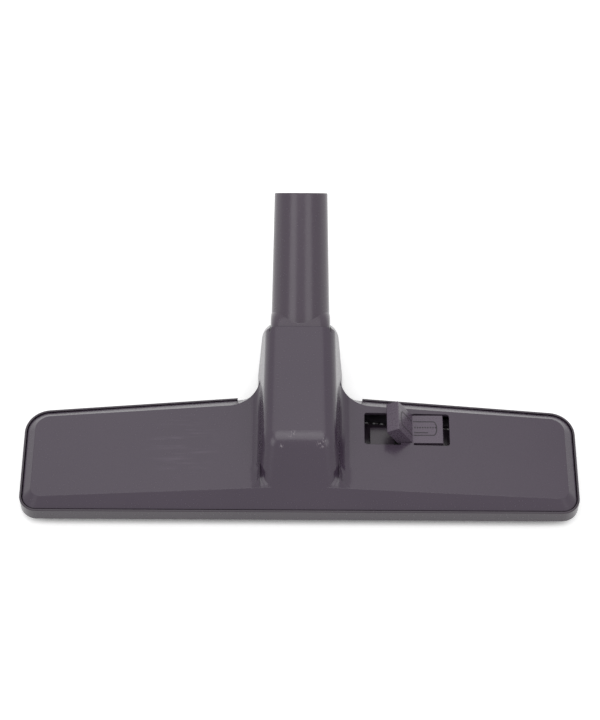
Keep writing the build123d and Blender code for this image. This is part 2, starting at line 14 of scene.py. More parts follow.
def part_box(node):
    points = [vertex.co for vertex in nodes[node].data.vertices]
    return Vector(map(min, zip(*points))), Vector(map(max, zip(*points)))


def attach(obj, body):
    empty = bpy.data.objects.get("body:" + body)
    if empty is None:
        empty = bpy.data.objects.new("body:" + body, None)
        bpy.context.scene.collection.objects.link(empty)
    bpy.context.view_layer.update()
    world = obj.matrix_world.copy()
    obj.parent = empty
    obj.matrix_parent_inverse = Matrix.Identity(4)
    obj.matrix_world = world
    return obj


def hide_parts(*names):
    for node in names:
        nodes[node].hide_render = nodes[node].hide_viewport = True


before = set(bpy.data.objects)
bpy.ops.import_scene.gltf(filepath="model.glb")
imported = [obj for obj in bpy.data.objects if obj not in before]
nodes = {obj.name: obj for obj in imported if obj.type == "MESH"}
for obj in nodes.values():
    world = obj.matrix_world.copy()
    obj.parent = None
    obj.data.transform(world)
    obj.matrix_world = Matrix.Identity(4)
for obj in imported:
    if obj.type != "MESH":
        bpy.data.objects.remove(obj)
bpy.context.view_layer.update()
scene = bpy.context.scene
MM = 0.001

# %% [markdown]
# The photograph looks down on the head from the front with a long lens. A camera can be placed by eye,
# but a target point, a height angle and a distance are easier to read and to correct. The picture is
# 600 by 720, so the lens is fitted to the 720 side. A third of a degree of roll levels the head as in
# the photograph.

# %% Camera
PHOTO_HEIGHT = 720
camera_height_angle = radians(56.0)
camera_distance = 1.5
camera_roll = radians(0.315)
focus_in_pixels = 2142.0
sideways_in_pixels = -0.2
aim = Vector((0.0, 6.5 * MM, 30.0 * MM))
camera_data = bpy.data.cameras.new("photo_camera")
camera_data.sensor_width = 36.0
camera_data.lens = focus_in_pixels / PHOTO_HEIGHT * camera_data.sensor_width
camera_data.shift_x = sideways_in_pixels / PHOTO_HEIGHT
camera = bpy.data.objects.new("photo_camera", camera_data)
scene.collection.objects.link(camera)
camera.location = aim + camera_distance * Vector((0.0, -cos(camera_height_angle), sin(camera_height_angle)))
turn = Matrix.Rotation(pi / 2 - camera_height_angle, 3, "X") @ Matrix.Rotation(camera_roll, 3, "Z")
camera.rotation_euler = turn.to_euler()
scene.camera = camera
scene.view_settings.view_transform = "Standard"
print("lens in mm:", round(camera_data.lens, 1))

# %% [markdown]
# Colours are written as the hex values that a paint program shows and turned to the linear numbers that
# a shader works with. One helper adds a shader node, with its settings, its fixed inputs and its links.

# %% Helpers for colours and shader nodes
def linear(hex_colour):
    parts = [int(hex_colour[i:i + 2], 16) / 255 for i in (1, 3, 5)]
    return [p / 12.92 if p <= 0.04045 else ((p + 0.055) / 1.055) ** 2.4 for p in parts] + [1.0]


def add_node(tree, kind, inputs=None, **settings):
    node = tree.nodes.new(kind)
    for name, value in settings.items():
        setattr(node, name, value)
    for socket, value in (inputs or {}).items():
        if isinstance(value, bpy.types.NodeSocket):
            tree.links.new(value, node.inputs[socket])
        else:
            node.inputs[socket].default_value = value
    return node


print("mid grey in linear light:", [round(c, 3) for c in linear("#808080")])

# %% [markdown]
# The head lies on a seamless white sheet. The sheet is a large plane with a plain white finish. What
# the camera or a shiny surface sees of it gets a little extra light, so that it reads as white, while
# the head still drops its soft shadow on it. Light Path tells who looks, and the room needs the same
# answer later, so it is a helper. Ambient Occlusion tells how open a spot is: under the head, where the
# sky is shut out, the sheet gets no extra light. Far away, where the lamps don't reach, it gets some more.

# %% White sheet under the head
def seen_directly(tree):
    path = add_node(tree, "ShaderNodeLightPath")
    seen = path.outputs["Is Camera Ray"]
    for ray in ("Is Glossy Ray", "Is Transmission Ray"):
        either = add_node(tree, "ShaderNodeMath", {0: seen, 1: path.outputs[ray]}, operation="MAXIMUM")
        seen = either.outputs[0]
    return seen


sheet_size = 12.0
sheet_drop = 0.2 * MM
shade_reach = 50 * MM
shut_in, open_sky = 0.3, 0.5
sheet_glow = 0.5
lit_reach, dim_reach = 0.3, 1.5
far_gain = 1.4
bpy.ops.object.select_all(action="DESELECT")
bpy.ops.mesh.primitive_plane_add(size=sheet_size, location=(0.0, 0.0, -sheet_drop))
floor = bpy.context.object
floor.name = "studio_floor"
white_sheet = bpy.data.materials.new("white_paper_sheet")
white_sheet.use_nodes = True
tree = white_sheet.node_tree
tree.nodes.clear()
place = add_node(tree, "ShaderNodeTexCoord").outputs["Object"]
sky_share = add_node(tree, "ShaderNodeAmbientOcclusion", {"Distance": shade_reach}, samples=8)
open_sheet = add_node(tree, "ShaderNodeMapRange", {"Value": sky_share.outputs["AO"], "From Min": shut_in,
                                                   "From Max": open_sky, "To Max": sheet_glow})
away = add_node(tree, "ShaderNodeVectorMath", {0: place}, operation="LENGTH")
far = add_node(tree, "ShaderNodeMapRange", {"Value": away.outputs["Value"], "From Min": lit_reach,
                                            "From Max": dim_reach, "To Min": 1.0, "To Max": far_gain})
glow = add_node(tree, "ShaderNodeMath", {0: seen_directly(tree), 1: open_sheet.outputs[0]},
                operation="MULTIPLY")
glow = add_node(tree, "ShaderNodeMath", {0: glow.outputs[0], 1: far.outputs[0]}, operation="MULTIPLY")
paper = add_node(tree, "ShaderNodeBsdfDiffuse", {"Color": linear("#e8e8e8")})
light = add_node(tree, "ShaderNodeEmission", {"Color": linear("#ffffff"), "Strength": glow.outputs[0]})
both = add_node(tree, "ShaderNodeAddShader", {0: paper.outputs[0], 1: light.outputs[0]})
add_node(tree, "ShaderNodeOutputMaterial", {"Surface": both.outputs[0]})
floor.data.materials.append(white_sheet)
print("sheet:", sheet_size, "m")

# %% [markdown]
# Soft studio light: an even white room, a soft box to the left and to the right of the camera, which
# draw the two pale stripes on the neck, one overhead for the shine on the hood's crease and a larger one
# above and behind. The room's light on the object stays at a plain level, and only what the camera and
# the reflections see of the room is pure white. Each soft box is given by its place, size and watts.

# %% Soft studio light
room_light = 0.55
room = bpy.data.worlds.new("white_room")
scene.world = room
room.use_nodes = True
tree = room.node_tree
tree.nodes.clear()
level = add_node(tree, "ShaderNodeMapRange", {"Value": seen_directly(tree), "To Min": room_light,
                                              "To Max": 1.0})
sky = add_node(tree, "ShaderNodeBackground", {"Color": linear("#ffffff"), "Strength": level.outputs[0]})
add_node(tree, "ShaderNodeOutputWorld", {"Surface": sky.outputs[0]})
soft_boxes = (
    ("left_soft_box", (-0.85, -0.79, 1.14), 0.7, 2.5),
    ("right_soft_box", (0.85, -0.79, 1.14), 0.7, 2.2),
    ("crease_soft_box", (0.0, -0.35, 1.7), 0.9, 4.5),
    ("rear_soft_box", (-0.2, 0.45, 1.6), 1.6, 5.5),
)
for name, place, size, watts in soft_boxes:
    box_data = bpy.data.lights.new(name, "AREA")
    box_data.energy = watts
    box_data.size = size
    soft_box = bpy.data.objects.new(name, box_data)
    scene.collection.objects.link(soft_box)
    soft_box.location = place
    soft_box.rotation_euler = (aim - soft_box.location).to_track_quat("-Z", "Y").to_euler()
    print(name, watts, "W")

# %% [markdown]
# Cover, base, neck and pedal are moulded polypropylene, dyed a dark warm grey. The mould was spark
# eroded, which leaves a satin surface with a very fine grain. The grain of about 0.2 mm is too fine for
# the picture, so it is drawn at 1.2 mm. A slow change of tone over some 60 mm stands for handling, and
# the Bevel node softens the sharp edges of the solids as a mould does. Every finish starts in the same
# way, from a Principled shader and the place on the piece, so that start is a helper.

# %% Satin moulded polypropylene
def new_material(name):
    material = bpy.data.materials.new(name)
    material.use_nodes = True
    tree = material.node_tree
    place = add_node(tree, "ShaderNodeTexCoord").outputs["Object"]
    return material, tree, tree.nodes["Principled BSDF"], place


grain_size = 1.2 * MM
grain_depth = 0.1 * MM
grain_gloss = 0.04
tone_size = 60 * MM
polypropylene_ior = 1.49


def satin_plastic(name, dark, pale, roughness, bevel_mm=0.7):
    material, tree, shader, place = new_material(name)
    grain = add_node(tree, "ShaderNodeTexNoise", {"Vector": place, "Scale": 1 / grain_size, "Detail": 3.0})
    cloud = add_node(tree, "ShaderNodeTexNoise", {"Vector": place, "Scale": 1 / tone_size, "Detail": 2.0})
    tone = add_node(tree, "ShaderNodeMix", {0: cloud.outputs["Fac"], 6: linear(dark), 7: linear(pale)},
                    data_type="RGBA")
    tree.links.new(tone.outputs[2], shader.inputs["Base Color"])
    gloss = add_node(tree, "ShaderNodeMapRange", {"Value": grain.outputs["Fac"], "From Min": 0.3,
                                                  "From Max": 0.7, "To Min": roughness - grain_gloss,
                                                  "To Max": roughness + grain_gloss})
    tree.links.new(gloss.outputs[0], shader.inputs["Roughness"])
    edge = add_node(tree, "ShaderNodeBevel", {"Radius": bevel_mm * MM}, samples=4)
    relief = add_node(tree, "ShaderNodeBump", {"Height": grain.outputs["Fac"], "Strength": 0.12,
                                               "Distance": grain_depth, "Normal": edge.outputs[0]})
    tree.links.new(relief.outputs[0], shader.inputs["Normal"])
    shader.inputs["IOR"].default_value = polypropylene_ior
    return material


def dress(node, material):
    mesh = nodes[node].data
    mesh.materials.clear()
    mesh.materials.append(material)


cover_plastic = satin_plastic("satin_moulded_polypropylene_cover", "#3e3442", "#453a48", 0.24)
dress("top_cover", cover_plastic)
dress("base_housing", satin_plastic("satin_moulded_polypropylene_base", "#352c37", "#3c323d", 0.24, 0.25))
dress("neck_tube", satin_plastic("satin_moulded_polypropylene_neck", "#443a46", "#4a3f4c", 0.24))
dress("rocker_pedal", satin_plastic("satin_moulded_polypropylene_pedal", "#524755", "#584d5b", 0.28, 0.4))
print("satin parts: cover, base, neck and pedal")

# %% [markdown]
# The cover in the photograph is used. Three white scuffs sit on the hood's crease. Each is a distance to
# a point, faded to its edge and broken up by a coarse noise, so it stays on the plastic from every side.

# %% Scuffs on the crease
scuffs = (
    ((-5.5 * MM, -68.4 * MM, 52.0 * MM), 3.6 * MM),
    ((-12.5 * MM, -75.9 * MM, 49.0 * MM), 2.0 * MM),
    ((14.7 * MM, -74.0 * MM, 50.0 * MM), 4.2 * MM),
)
scratch_size = 0.9 * MM
scratch_turn = radians(35)
tree = cover_plastic.node_tree
shader = tree.nodes["Principled BSDF"]
plain = shader.inputs["Base Color"].links[0].from_socket
place = add_node(tree, "ShaderNodeTexCoord").outputs["Object"]
scratchy = add_node(tree, "ShaderNodeMapping", {"Vector": place, "Rotation": (0.0, 0.0, scratch_turn),
                                                "Scale": (1.0, 0.35, 0.6)})
speckle = add_node(tree, "ShaderNodeTexNoise", {"Vector": scratchy.outputs[0], "Scale": 1 / scratch_size,
                                                "Detail": 3.0})
speckle = add_node(tree, "ShaderNodeMapRange", {"Value": speckle.outputs["Fac"], "From Min": 0.54,
                                                "From Max": 0.66})
marks = None
for point, reach in scuffs:
    away = add_node(tree, "ShaderNodeVectorMath", {0: place, 1: point}, operation="DISTANCE")
    mark = add_node(tree, "ShaderNodeMapRange", {"Value": away.outputs["Value"], "From Max": reach,
                                                 "To Min": 1.0, "To Max": 0.0})
    if marks:
        mark = add_node(tree, "ShaderNodeMath", {0: marks.outputs[0], 1: mark.outputs[0]}, operation="MAXIMUM")
    marks = mark
marks = add_node(tree, "ShaderNodeMath", {0: marks.outputs[0], 1: speckle.outputs[0]}, operation="MULTIPLY")
scuffed = add_node(tree, "ShaderNodeMix", {0: marks.outputs[0], 6: plain, 7: linear("#a8a0a6")},
                   data_type="RGBA")
print("scuffs:", len(scuffs))

# %% [markdown]
# The left panel is faintly rubbed where it was wiped and pushed about. It gets one wide mark in the same
# way, with a noise stretched along X for the streaks, and then the cover's colour is complete.

# %% Rubbed left panel
rub_middle = (-79 * MM, -63 * MM, 25 * MM)
rub_reach = 28 * MM
rub_strength = 0.4
streak_size = 2.5 * MM
streak_turn = radians(8)
away = add_node(tree, "ShaderNodeVectorMath", {0: place, 1: rub_middle}, operation="DISTANCE")
rubbed = add_node(tree, "ShaderNodeMapRange", {"Value": away.outputs["Value"], "From Max": rub_reach,
                                               "To Min": rub_strength, "To Max": 0.0})
streaky = add_node(tree, "ShaderNodeMapping", {"Vector": place, "Rotation": (0.0, 0.0, streak_turn),
                                               "Scale": (0.1, 1.0, 1.0)})
streaks = add_node(tree, "ShaderNodeTexNoise", {"Vector": streaky.outputs[0], "Scale": 1 / streak_size,
                                                "Detail": 2.0})
streaks = add_node(tree, "ShaderNodeMapRange", {"Value": streaks.outputs["Fac"], "From Min": 0.5,
                                                "From Max": 0.7})
rubbed = add_node(tree, "ShaderNodeMath", {0: rubbed.outputs[0], 1: streaks.outputs[0]}, operation="MULTIPLY")
worn = add_node(tree, "ShaderNodeMix", {0: rubbed.outputs[0], 6: scuffed.outputs[2], 7: linear("#6a5f6e")},
                data_type="RGBA")
tree.links.new(worn.outputs[2], shader.inputs["Base Color"])
print("rubbed patch in mm:", round(2 * rub_reach / MM))

# %% [markdown]
# Under the cover lie plain moulded parts in near black plastic: the air duct and the frame that carries
# the bristles. Nobody polishes their moulds, so they are duller than the cover and show faint flow marks
# from the moulding, some 8 mm apart.

# %% Plain black moulded plastic
flow_size = 8 * MM
abs_ior = 1.5


def inner_plastic(name, dark, pale):
    material, tree, shader, place = new_material(name)
    flow = add_node(tree, "ShaderNodeTexNoise", {"Vector": place, "Scale": 1 / flow_size, "Detail": 4.0,
                                                 "Distortion": 0.6})
    tone = add_node(tree, "ShaderNodeMix", {0: flow.outputs["Fac"], 6: linear(dark), 7: linear(pale)},
                    data_type="RGBA")
    tree.links.new(tone.outputs[2], shader.inputs["Base Color"])
    dull = add_node(tree, "ShaderNodeMapRange", {"Value": flow.outputs["Fac"], "To Min": 0.42, "To Max": 0.62})
    tree.links.new(dull.outputs[0], shader.inputs["Roughness"])
    shader.inputs["IOR"].default_value = abs_ior
    return material


dress("air_duct", inner_plastic("plain_moulded_abs_duct", "#2a282b", "#343135"))
dress("brush_frame", inner_plastic("plain_moulded_abs_frame", "#343036", "#3f3a41"))
print("inner parts: duct and brush frame")

# %% [markdown]
# The sole plate is a thin sheet of brushed stainless steel. Brushing drags fine scratches along the
# sheet, so a noise pattern is stretched far along X. Real scratches are some 0.05 mm wide, and they are
# drawn at 0.5 mm so that they show.

# %% Brushed and drawn steel
line_depth = 0.05 * MM
smoother, rougher = 0.08, 0.1


def brushed_steel(name, tones, roughness, stretch, line_mm):
    material, tree, shader, place = new_material(name)
    shader.inputs["Metallic"].default_value = 1.0
    drawn = add_node(tree, "ShaderNodeMapping", {"Vector": place, "Scale": stretch})
    lines = add_node(tree, "ShaderNodeTexNoise", {"Vector": drawn.outputs[0], "Scale": 1 / (line_mm * MM),
                                                  "Detail": 3.0})
    tone = add_node(tree, "ShaderNodeMix", {0: lines.outputs["Fac"], 6: linear(tones[0]),
                                            7: linear(tones[1])}, data_type="RGBA")
    tree.links.new(tone.outputs[2], shader.inputs["Base Color"])
    rub = add_node(tree, "ShaderNodeMapRange", {"Value": lines.outputs["Fac"],
                                                "To Min": roughness - smoother,
                                                "To Max": roughness + rougher})
    tree.links.new(rub.outputs[0], shader.inputs["Roughness"])
    relief = add_node(tree, "ShaderNodeBump", {"Height": lines.outputs["Fac"], "Strength": 0.2,
                                               "Distance": line_depth})
    tree.links.new(relief.outputs[0], shader.inputs["Normal"])
    return material


steel_tones = ("#b4b4b6", "#cfcfd0")
sole_steel = brushed_steel("brushed_stainless_steel_sole", steel_tones, 0.32, (0.02, 1.0, 1.0), 0.5)
pin_steel = brushed_steel("drawn_steel_pin", steel_tones, 0.28, (1.0, 0.05, 1.0), 0.4)
axle_steel = brushed_steel("drawn_steel_axle", steel_tones, 0.28, (0.05, 1.0, 1.0), 0.4)
dress("glide_plate", sole_steel)
dress("pedal_pin", pin_steel)
dress("left_wheel_axle", axle_steel)
dress("right_wheel_axle", axle_steel)
print("steel parts: sole plate, pin and two axles")

# %% [markdown]
# New pieces are modelled in edit mode. Small helpers keep that readable: one gives a fresh primitive
# its size and puts its place into its mesh, one selects points, edges or faces by a test on where they
# are, and one goes in and out of edit mode. Two small distances serve in those tests.

# %% Helpers for shaping
NEAR = 0.1 * MM
TOUCHING = 0.01 * MM


def settle(name, size=None):
    piece = bpy.context.object
    piece.name = name
    if size:
        piece.scale = size
    piece.data.name = name
    bpy.ops.object.transform_apply(location=True, rotation=True, scale=True)
    return piece


def pick(kind, test):
    bpy.ops.mesh.select_mode(type=kind)
    bpy.ops.mesh.select_all(action="DESELECT")
    mesh = bpy.context.object.data
    shape = bmesh.from_edit_mesh(mesh)
    things = {"VERT": shape.verts, "EDGE": shape.edges, "FACE": shape.faces}[kind]
    for thing in things:
        thing.select_set(test(thing))
    shape.select_flush_mode()
    bmesh.update_edit_mesh(mesh)


def edit(on):
    bpy.ops.object.mode_set(mode="EDIT" if on else "OBJECT")


print("tests of place within", NEAR / MM, "and", TOUCHING / MM, "mm")

# %% [markdown]
# What repeats is modelled once. An Array modifier makes even rows, a copy gets its own mesh, place and
# turn, and joining puts all of that into one mesh. The last helper hands a finished piece to the body it
# moves with.

# %% Helpers for copies
def select_only(*pieces):
    bpy.ops.object.select_all(action="DESELECT")
    for piece in pieces:
        piece.select_set(True)
    bpy.context.view_layer.objects.active = pieces[0]


def repeat(piece, count, offset):
    row = piece.modifiers.new("row", "ARRAY")
    row.count = count
    row.use_relative_offset = False
    row.use_constant_offset = True
    row.constant_offset_displace = offset
    bpy.ops.object.modifier_apply(modifier=row.name)


def own_copy(piece, name, place=(0, 0, 0), turn=0.0):
    twin = piece.copy()
    twin.data = piece.data.copy()
    twin.name = name
    scene.collection.objects.link(twin)
    twin.location = place
    twin.rotation_euler = (0.0, 0.0, turn)
    return twin


def join(pieces, name):
    select_only(*pieces)
    bpy.ops.object.join()
    return settle(name)


def hand_over(piece, material, body, slot, *replaced):
    piece.data.materials.clear()
    piece.data.materials.append(material)
    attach(piece, body)
    if replaced:
        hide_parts(*replaced)
    print(piece.name, "faces:", len(piece.data.polygons), "on", body)


print("helpers ready: select_only, repeat, own_copy, join and hand_over")

# %% [markdown]
# The bristles are bundles of nylon filaments, folded and stapled into holes 5.2 mm apart. One filament
# is a slim cone that bows a little at its tip. Sixteen of them make a tuft whose tips splay. Real
# filaments are 0.15 mm thick, and these are drawn at up to twice that so that the rows show.

# %% One tuft of filaments
strip_low, strip_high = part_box("front_bristles")
backing_thickness = 1.2 * MM
tuft_height = strip_high.z - strip_low.z - backing_thickness
tuft_middle = strip_low.z + tuft_height / 2
tip_radius, root_radius = 0.1 * MM, 0.16 * MM
tip_bow = (0.25 * MM, 0.1 * MM, 0.0)
tip_splay = 1.2
filament_step = 0.8 * MM
filaments_across = 4
bpy.ops.object.select_all(action="DESELECT")
bpy.ops.mesh.primitive_cone_add(vertices=4, radius1=tip_radius, radius2=root_radius, depth=tuft_height,
                                location=(0.0, 0.0, tuft_middle))
tuft = settle("tuft")
edit(True)
bpy.ops.mesh.select_all(action="SELECT")
bpy.ops.mesh.bisect(plane_co=(0.0, 0.0, tuft_middle), plane_no=(0.0, 0.0, 1.0))
pick("VERT", lambda v: v.co.z < strip_low.z + NEAR)
bpy.ops.transform.translate(value=tip_bow)
bpy.ops.mesh.select_all(action="SELECT")
first_filament = -(filaments_across - 1) / 2 * filament_step
bpy.ops.transform.translate(value=(first_filament, first_filament, 0.0))
edit(False)
repeat(tuft, filaments_across, (filament_step, 0.0, 0.0))
repeat(tuft, filaments_across, (0.0, filament_step, 0.0))
edit(True)
pick("VERT", lambda v: v.co.z < strip_low.z + NEAR)
bpy.ops.transform.resize(value=(tip_splay, tip_splay, 1.0), center_override=(0.0, 0.0, 0.0))
edit(False)
print("tuft of", filaments_across ** 2, "filaments,", len(tuft.data.polygons), "faces")

# %% [markdown]
# The filaments are black nylon, drawn through a die, so each has a smooth gloss of its own. A fine noise
# changes tone and gloss from strand to strand.

# %% Black nylon
nylon, tree, shader, place = new_material("black_nylon_filament")
strand_size = 0.7 * MM
nylon_ior = 1.53
shader.inputs["IOR"].default_value = nylon_ior
strand = add_node(tree, "ShaderNodeTexNoise", {"Vector": place, "Scale": 1 / strand_size, "Detail": 1.0})
tone = add_node(tree, "ShaderNodeMix", {0: strand.outputs["Fac"], 6: linear("#1c1b1d"), 7: linear("#39363b")},
                data_type="RGBA")
tree.links.new(tone.outputs[2], shader.inputs["Base Color"])
shine = add_node(tree, "ShaderNodeMapRange", {"Value": strand.outputs["Fac"], "To Min": 0.3, "To Max": 0.5})
tree.links.new(shine.outputs[0], shader.inputs["Roughness"])
print("bristle material:", nylon.name)

# %% [markdown]
# A strip is a thin backing bar with a tuft in each hole. The front strip is straight. The rear strip
# follows the swept back edge of the head, so its bar gets a cut in the middle and both ends move
# forward. Each tuft is turned by its own angle, from a fixed rule and not by chance, so that the row
# doesn't look copied.

# %% The two bristle strips
tuft_pitch = 5.2 * MM
tuft_count = 62
tuft_turn = 137.5
bar_edge = 0.25 * MM
swept_back, swept_along = 13.7, 190.0 - 29.5
rear_sweep = swept_back / swept_along


def bristle_strip(node, name, sweep):
    low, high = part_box(node)
    half = (high.x - low.x) / 2
    depth = high.y - low.y - sweep * half
    middle_y = high.y - depth / 2
    bpy.ops.object.select_all(action="DESELECT")
    bpy.ops.mesh.primitive_cube_add(size=1.0, location=(0.0, middle_y, high.z - backing_thickness / 2))
    bar = settle("backing", (2 * half, depth, backing_thickness))
    edit(True)
    bpy.ops.mesh.select_all(action="SELECT")
    bpy.ops.mesh.bisect(plane_co=(0.0, 0.0, 0.0), plane_no=(1.0, 0.0, 0.0))
    pick("VERT", lambda v: abs(v.co.x) > half / 2)
    bpy.ops.transform.translate(value=(0.0, -sweep * half, 0.0))
    pick("EDGE", lambda e: abs(e.verts[0].co.x) > half / 2 and abs(e.verts[1].co.x) > half / 2)
    bpy.ops.mesh.bevel(offset=bar_edge, segments=2)
    edit(False)
    tufts = []
    for i in range(tuft_count):
        x = (i - (tuft_count - 1) / 2) * tuft_pitch
        tufts.append(own_copy(tuft, "hole", (x, middle_y - sweep * abs(x), 0.0), radians(tuft_turn * i)))
    hand_over(join([bar] + tufts, name), nylon, "brush", "bristle", node)


bristle_strip("front_bristles", "front_bristle_strip", 0.0)
bristle_strip("rear_bristles", "rear_bristle_strip", rear_sweep)
bpy.data.objects.remove(tuft)

# %% [markdown]
# Beside the suction slot lie four short strips of red velvet-like pile that lift lint off carpet. Cut
# nylon pile is dull, with a soft sheen along its fibres' sides. The noise gives each fibre its own red.

# %% Red nylon pile
pile, tree, shader, place = new_material("red_nylon_pile")
fuzz_size = 0.9 * MM
fuzz = add_node(tree, "ShaderNodeTexNoise", {"Vector": place, "Scale": 1 / fuzz_size, "Detail": 2.0})
tone = add_node(tree, "ShaderNodeMix", {0: fuzz.outputs["Fac"], 6: linear("#6a1319"), 7: linear("#a3262b")},
                data_type="RGBA")
tree.links.new(tone.outputs[2], shader.inputs["Base Color"])
shader.inputs["Roughness"].default_value = 0.85
shader.inputs["Sheen Weight"].default_value = 0.4
shader.inputs["Sheen Roughness"].default_value = 0.4
print("lint material:", pile.name)

# %% [markdown]
# The pile leans one way, which makes it grip in one direction. Hair particles could draw it, but real
# cones in rows survive the export. Each fibre is a leaning three-sided cone, drawn 0.7 mm apart, coarser
# than the real pile.

# %% Lint strip with leaning pile
low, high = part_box("front_left_lint_strip")
tape_thickness = 0.5 * MM
tape_corner = 0.6 * MM
bare_ends, bare_sides = 1.0 * MM, 0.8 * MM
fibre_step = 0.7 * MM
fibre_radius = 0.3 * MM
fibre_lean = (0.1 * MM, 0.45 * MM, 0.0)
bpy.ops.object.select_all(action="DESELECT")
bpy.ops.mesh.primitive_cube_add(size=1.0, location=(0.0, 0.0, high.z - tape_thickness / 2))
tape = settle("tape", (high.x - low.x, high.y - low.y, tape_thickness))
edit(True)
pick("EDGE", lambda e: abs(e.verts[0].co.z - e.verts[1].co.z) > tape_thickness / 2)
bpy.ops.mesh.bevel(offset=tape_corner, segments=3)
edit(False)
fibre_rows = (int((high.x - low.x - bare_ends) / fibre_step), int((high.y - low.y - bare_sides) / fibre_step))
fibre_height = high.z - tape_thickness - low.z
bpy.ops.object.select_all(action="DESELECT")
bpy.ops.mesh.primitive_cone_add(vertices=3, radius1=fibre_radius, depth=fibre_height, rotation=(pi, 0.0, 0.0),
                                location=(-fibre_rows[0] / 2 * fibre_step, -fibre_rows[1] / 2 * fibre_step,
                                          low.z + fibre_height / 2))
fibre = settle("fibre")
edit(True)
pick("VERT", lambda v: v.co.z < low.z + NEAR)
bpy.ops.transform.translate(value=fibre_lean)
edit(False)
repeat(fibre, fibre_rows[0] + 1, (fibre_step, 0.0, 0.0))
repeat(fibre, fibre_rows[1] + 1, (0.0, fibre_step, 0.0))
strip = join([tape, fibre], "lint_strip")
print("fibres in a strip:", (fibre_rows[0] + 1) * (fibre_rows[1] + 1))

# %% [markdown]
# The four strips are alike. The rear ones are turned round, so that the pile leans towards the slot on
# both sides of it.

# %% Four lint strips in place
for node, turn in (("front_left", 0.0), ("front_right", 0.0), ("rear_left", pi), ("rear_right", pi)):
    low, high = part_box(node + "_lint_strip")
    middle = (low + high) / 2
    twin = own_copy(strip, node, (middle.x, middle.y, 0.0), turn)
    hand_over(join([twin], node + "_lint_pile"), pile, "head", "lint_pile", node + "_lint_strip")
bpy.data.objects.remove(strip)

# %% [markdown]
# Two small hard rubber wheels roll under the neck. A wheel is a lathe shape: half of its cross-section
# is drawn flat and spun round the axle. The section starts as a plane from the bore to the tread. Cuts
# along its edges give points to push in for two tread grooves and for the shallow dish in each side.

# %% Section of a wheel
low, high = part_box("left_wheel")
wheel_radius = (high.z - low.z) / 2
wheel_half = (high.x - low.x) / 2
bore_radius = 1.52 * MM
groove_depth = 0.5 * MM
groove_from, groove_to = 1.2 * MM, 2.2 * MM
dish_depth = 0.8 * MM
dish_from, dish_to = 3.3 * MM, 6.5 * MM
tread_edge = 0.8 * MM
section_height = wheel_radius - bore_radius
bpy.ops.object.select_all(action="DESELECT")
bpy.ops.mesh.primitive_plane_add(size=1.0, rotation=(pi / 2, 0.0, 0.0),
                                 location=(0.0, 0.0, bore_radius + section_height / 2))
wheel = settle("wheel", (2 * wheel_half, section_height, 1.0))
edit(True)
pick("EDGE", lambda e: all(v.co.z > wheel_radius - NEAR for v in e.verts))
bpy.ops.mesh.subdivide(number_cuts=8)
pick("VERT", lambda v: v.co.z > wheel_radius - NEAR and groove_from < abs(v.co.x) < groove_to)
bpy.ops.transform.translate(value=(0.0, 0.0, -groove_depth))
for side in (-1, 1):
    pick("EDGE", lambda e: all(side * v.co.x > wheel_half - NEAR for v in e.verts))
    bpy.ops.mesh.subdivide(number_cuts=5)
    pick("VERT", lambda v: side * v.co.x > wheel_half - NEAR and dish_from < v.co.z < dish_to)
    bpy.ops.transform.translate(value=(-side * dish_depth, 0.0, 0.0))
pick("VERT", lambda v: abs(v.co.x) > wheel_half - NEAR and v.co.z > wheel_radius - NEAR)
bpy.ops.mesh.bevel(offset=tread_edge, segments=3, affect="VERTICES")
print("points in the section:", len(bmesh.from_edit_mesh(wheel.data).verts))

# %% [markdown]
# The face of the section isn't needed once its outline is right. Spin turns the outline round the axle
# into a closed ring, and the seam where it meets itself is merged.

# %% Spin the wheel
spin_steps = 48
smooth_up_to = radians(35)
bpy.ops.mesh.select_all(action="SELECT")
bpy.ops.mesh.delete(type="ONLY_FACE")
bpy.ops.mesh.select_all(action="SELECT")
bpy.ops.mesh.spin(steps=spin_steps, angle=2 * pi, center=(0.0, 0.0, 0.0), axis=(1.0, 0.0, 0.0))
bpy.ops.mesh.select_all(action="SELECT")
bpy.ops.mesh.remove_doubles(threshold=TOUCHING)
bpy.ops.mesh.normals_make_consistent(inside=False)
edit(False)
bpy.ops.object.shade_smooth_by_angle(angle=smooth_up_to)
print("wheel faces:", len(wheel.data.polygons))

# %% [markdown]
# The tread is hard black rubber, dull and greyed by floor dust in patches of some 2.5 mm. One wheel is
# modelled and both rollers are copies of it.

# %% Rubber, and two wheels in place
rubber, tree, shader, place = new_material("hard_black_rubber")
dust_size = 2.5 * MM
rubber_ior = 1.52
dust = add_node(tree, "ShaderNodeTexNoise", {"Vector": place, "Scale": 1 / dust_size, "Detail": 4.0})
tone = add_node(tree, "ShaderNodeMix", {0: dust.outputs["Fac"], 6: linear("#222123"), 7: linear("#454247")},
                data_type="RGBA")
tree.links.new(tone.outputs[2], shader.inputs["Base Color"])
dull = add_node(tree, "ShaderNodeMapRange", {"Value": dust.outputs["Fac"], "To Min": 0.6, "To Max": 0.85})
tree.links.new(dull.outputs[0], shader.inputs["Roughness"])
shader.inputs["IOR"].default_value = rubber_ior
for side in ("left", "right"):
    low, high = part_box(side + "_wheel")
    twin = own_copy(wheel, side, (low + high) / 2)
    hand_over(join([twin], side + "_roller"), rubber, side + "_roller", "wheel_rubber", side + "_wheel")
bpy.data.objects.remove(wheel)

# %% [markdown]
# The base is held by six screws from below and the sole plate by six small ones. All are zinc plated
# with a cross recess. A screw starts as the cylinder of its head. The shank is extruded from the top
# face after an inset, and the point is scaled in. The cross is a small four-armed star, extruded from a
# cube, that a Boolean modifier cuts out of the head.

# %% One screw with a cross recess
head_edge = 0.25 * MM
point_share = 0.25
point_scale = 0.3
recess_share = 0.6
arm_share = 0.28
facing = 0.9


